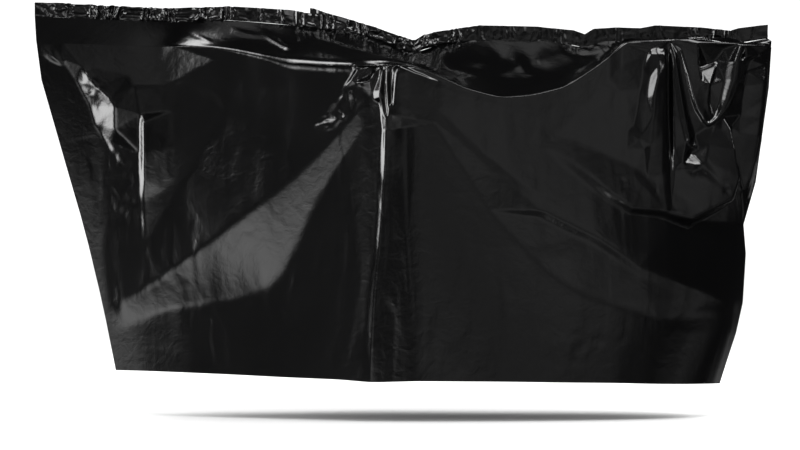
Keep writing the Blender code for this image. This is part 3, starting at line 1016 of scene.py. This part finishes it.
# The free skirt over the weld, from left to right. It doubles back on itself once.
#   across   back     weld up  top up
skirtPath = [
    (-1.008, 0.0000, 0.087, 0.126),
    (-0.940, 0.0000, 0.084, 0.123),
    (-0.770, 0.0000, 0.076, 0.116),
    (-0.630, 0.0000, 0.070, 0.110),
    (-0.462, 0.0000, 0.076, 0.115),
    (-0.340, 0.0000, 0.067, 0.108),
    (-0.294, -0.0010, 0.062, 0.104),
    (-0.170, -0.0080, 0.046, 0.086),
    (-0.163, -0.0060, 0.045, 0.084),
    (-0.170, -0.0030, 0.047, 0.090),
    (-0.232, 0.0020, 0.055, 0.110),
    (-0.238, 0.0050, 0.055, 0.110),
    (-0.230, 0.0070, 0.054, 0.108),
    (-0.126, 0.0030, 0.040, 0.079),
    (0.000, 0.0000, 0.002, 0.037),
    (0.048, 0.0000, -0.017, 0.022),
    (0.058, 0.0000, -0.016, 0.022),
    (0.080, 0.0000, -0.006, 0.036),
    (0.118, 0.0000, 0.004, 0.045),
    (0.238, 0.0000, 0.018, 0.062),
    (0.400, 0.0000, 0.016, 0.058),
    (0.500, 0.0000, 0.006, 0.048),
    (0.532, 0.0000, -0.001, 0.037),
    (0.556, 0.0000, 0.008, 0.052),
    (0.620, 0.0000, 0.016, 0.056),
    (0.686, 0.0000, 0.018, 0.054),
    (0.730, 0.0000, 0.019, 0.062),
    (0.854, 0.0000, 0.018, 0.056),
    (0.940, 0.0000, 0.008, 0.047),
    (0.962, 0.0000, 0.012, 0.054),
    (1.044, 0.0000, 0.025, 0.064),
]
# How strongly it is gathered.
#   across   share
skirtGather = [
    (-1.008, 0.2), (-0.950, 0.9), (-0.700, 1.0), (-0.500, 1.0), (-0.430, 0.6), (-0.300, 0.5),
    (-0.150, 0.9), (0.060, 1.0), (0.160, 0.7), (0.260, 0.22), (0.640, 0.16), (0.800, 0.2),
    (0.880, 0.6), (0.960, 0.2), (1.044, 0.2),
]
skirtSettings = {
    "columns": 1500,
    "rows": 10,
    "layerGap": 0.0012,  # how far each of the two layers leans out from its foot to its top
    "footGap": 0.3,  # how far it stands out at its foot, as a share of that
    "puckerWidth": 0.021,
    "puckerDepth": 0.0085,
    "crests": -1.2,  # the share of that depth which each sort of pucker takes
    "waves": 0.5,
    "lean": 1.2,
    "crumple": 1.2,
    "edgeWaver": 0.0030,
    "seed": 11,
}


def puckerTree(settings):  # ruffles a strip with along, height, gather and layer attributes
    tree = bpy.data.node_groups.new("skirt puckers", "GeometryNodeTree")
    nodes = Nodes(tree)
    tree.interface.new_socket("Geometry", in_out="OUTPUT", socket_type="NodeSocketGeometry")
    tree.interface.new_socket("Geometry", in_out="INPUT", socket_type="NodeSocketGeometry")
    for name in ("Pucker width", "Pucker depth", "Edge waver", "Seed"):
        tree.interface.new_socket(name, in_out="INPUT", socket_type="NodeSocketFloat")
    tree.interface.new_socket("Material", in_out="INPUT", socket_type="NodeSocketMaterial")
    start = tree.nodes.new("NodeGroupInput")
    inputs = [Socket(nodes, start.outputs[i]) for i in range(6)]
    geometry, width, depth, waver, seed, material = inputs

    def attribute(name):
        return nodes.add("GeometryNodeInputNamedAttribute", {"data_type": "FLOAT"}, {"Name": name})

    def noise(where, detail):  # from -1 to 1 along a line
        texture = nodes.add(
            "ShaderNodeTexNoise",
            {"noise_dimensions": "1D", "normalize": True},
            {"W": where, "Scale": 1.0, "Detail": detail},
        )
        return texture * 2.0 - 1.0

    def combine(x, y, z):
        return nodes.add("ShaderNodeCombineXYZ", {}, [x, y, z])

    along, height, gather, layer = map(attribute, ("along", "height", "gather", "layer"))
    # In pucker widths along the strip, of uneven length and not quite upright.
    where = along / width
    where = (
        where
        + noise(where * 0.23 + seed, 1.0) * 1.8
        + height * noise(where * 0.4 + seed * 4.0, 0.0) * 1.5
    )
    # Sharp crests that both layers share, in patches.
    crest = (1.0 - noise(where * 0.6 + seed * 2.0, 1.0).maths("ABSOLUTE") * 2.4).clamped()
    patch = (noise(where * 0.12 + seed * 9.0, 1.0) * 2.5 + 0.7).clamped()
    shared = crest * crest * patch
    # Waves of each layer's own, a slow lean and a fine crumple.
    waves = noise(where * 0.5 + seed * 3.0 + layer * 40.0, 1.0)
    lean = noise(where * 0.16 + seed * 5.0, 0.0)
    spot = combine(where * 0.9, height * 2.6, layer * 9.0)
    crumple = nodes.add("ShaderNodeTexNoise", {}, {"Vector": spot, "Scale": 1.0, "Detail": 1.0})
    crumple = crumple * 2.0 - 1.0
    swing = (
        shared * settings["crests"]
        + waves * height * settings["waves"]
        + lean * height * settings["lean"]
        + crumple * settings["crumple"]
    )
    risen = (height * 9.0).clamped()  # the foot stays on the weld
    push = swing * gather * depth * risen
    lift = noise(where * 0.5 + seed * 7.0 + layer * 20.0, 2.0) * waver - shared * waver
    offset = combine(push * lean * 0.6, push, lift * height * gather)
    moved = nodes.add("GeometryNodeSetPosition", {}, {"Geometry": geometry, "Offset": offset})
    plain = nodes.add("GeometryNodeRealizeInstances", {}, {"Geometry": moved})
    done = nodes.add("GeometryNodeSetMaterial", {}, {"Geometry": plain, "Material": material})
    end = tree.nodes.new("NodeGroupOutput")
    tree.links.new(done.output, end.inputs[0])
    return tree


def addSkirt(settings):
    path = np.array(skirtPath)
    steps = np.hypot(np.diff(path[:, 0]), np.diff(path[:, 1]))
    stations = np.concatenate([[0], np.cumsum(steps)])
    along = np.linspace(0, stations[-1], settings["columns"] + 1)
    across, back, low, top = (np.interp(along, stations, path[:, i]) for i in range(4))
    height = np.linspace(0, 1, settings["rows"] + 1)
    gather = np.interp(across, *zip(*skirtGather))
    points, faces = [], []
    attributes = {"along": [], "height": [], "gather": [], "layer": []}
    for layer, side in enumerate((-1, 1)):
        start = layer * len(height) * len(along)
        for share in height:
            leaf = side * settings["layerGap"] * (settings["footGap"] + share)
            points.append(np.stack([across, back + leaf, low + (top - low) * share], axis=1))
            attributes["along"].append(along)
            attributes["height"].append(np.full(len(along), share))
            attributes["gather"].append(gather)
            attributes["layer"].append(np.full(len(along), float(layer)))
        index = start + np.arange(len(height) * len(along)).reshape(len(height), len(along))
        corners = [index[:-1, :-1], index[:-1, 1:], index[1:, 1:], index[1:, :-1]]
        faces.append(np.stack(corners[::-side], axis=-1).reshape(-1, 4))
    mesh = bpy.data.meshes.new("weld_skirt")
    mesh.from_pydata(np.concatenate(points).tolist(), [], np.concatenate(faces).tolist())
    for name, values in attributes.items():
        attribute = mesh.attributes.new(name, "FLOAT", "POINT")
        attribute.data.foreach_set("value", np.concatenate(values))
    strip = bpy.data.objects.new("weld_skirt_strip", mesh)
    bpy.context.scene.collection.objects.link(strip)
    modifier = strip.modifiers.new("puckers", "NODES")
    modifier.node_group = puckerTree(settings)
    wanted = {
        "Pucker width": settings["puckerWidth"],
        "Pucker depth": settings["puckerDepth"],
        "Edge waver": settings["edgeWaver"],
        "Seed": float(settings["seed"]),
        "Material": film,
    }
    for item in modifier.node_group.interface.items_tree:
        if item.name in wanted:
            modifier[item.identifier] = wanted[item.name]
    bpy.context.view_layer.update()
    graph = bpy.context.evaluated_depsgraph_get()
    made = bpy.data.meshes.new_from_object(strip.evaluated_get(graph))
    made.shade_smooth()
    made.name = "weld_skirt"
    piece = bpy.data.objects.new("weld_skirt", made)
    bpy.context.scene.collection.objects.link(piece)
    bpy.data.objects.remove(strip)
    return piece


frontShares = spread(columnDensity, panelSettings["frontColumns"])
frontPoints = panelPoints(
    panelSettings, frontShoulder, frontHem, frontFolds, frontFacets, frontCrumples, -1, frontShares
)
frontPanel = addSheet("front_panel", frontPoints, -1)
print("front panel:", frontPoints.shape)

backShares = np.linspace(0, 1, panelSettings["backColumns"] + 1)
backPoints = panelPoints(
    panelSettings, backShoulder, backHem, backFolds, [], backCrumples, 1, backShares
)
backPanel = addSheet("back_panel", backPoints, 1)
print("back panel:", backPoints.shape)

weldSkirt = addSkirt(skirtSettings)
print("skirt:", len(weldSkirt.data.polygons), "faces")

for piece in (frontPanel, backPanel, weldSkirt):
    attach(piece, "root")
    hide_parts("cover")
